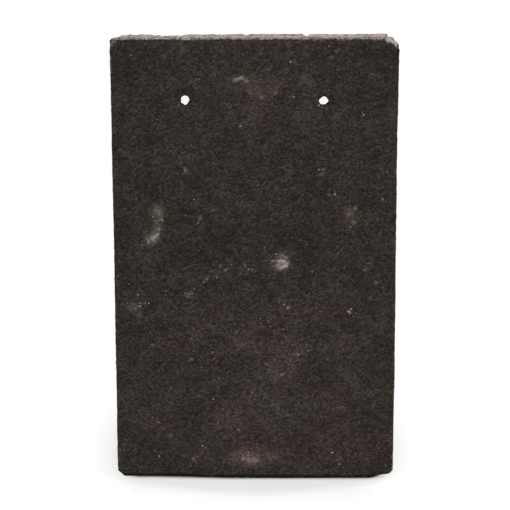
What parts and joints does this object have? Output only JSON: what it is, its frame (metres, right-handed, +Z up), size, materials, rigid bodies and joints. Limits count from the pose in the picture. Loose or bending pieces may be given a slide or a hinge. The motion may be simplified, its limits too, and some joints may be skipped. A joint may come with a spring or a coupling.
{
  "type": "plain roof tile",
  "caption": "Cambered rectangular concrete plain roof tile with nibs under its head and punched nail holes; dark sanded face, broken corner.",
  "frame": {"origin": "on the floor under the middle of the tile's footprint, with the tile lying face up on its tail and its two nibs", "axes": "+Y along the tile from its tail to its head, the end with the nibs and the nail holes; +Z up, out of the weather face; +X to the right of someone who looks down on the face with the head away"},
  "size_m": [0.165, 0.2672, 0.0247],
  "materials": {
    "concrete": "matt dark sanded concrete, paler where it is cut or broken"
  },
  "bodies": {
    "root": {"roof_tile": "concrete"}
  },
  "joints": []
}
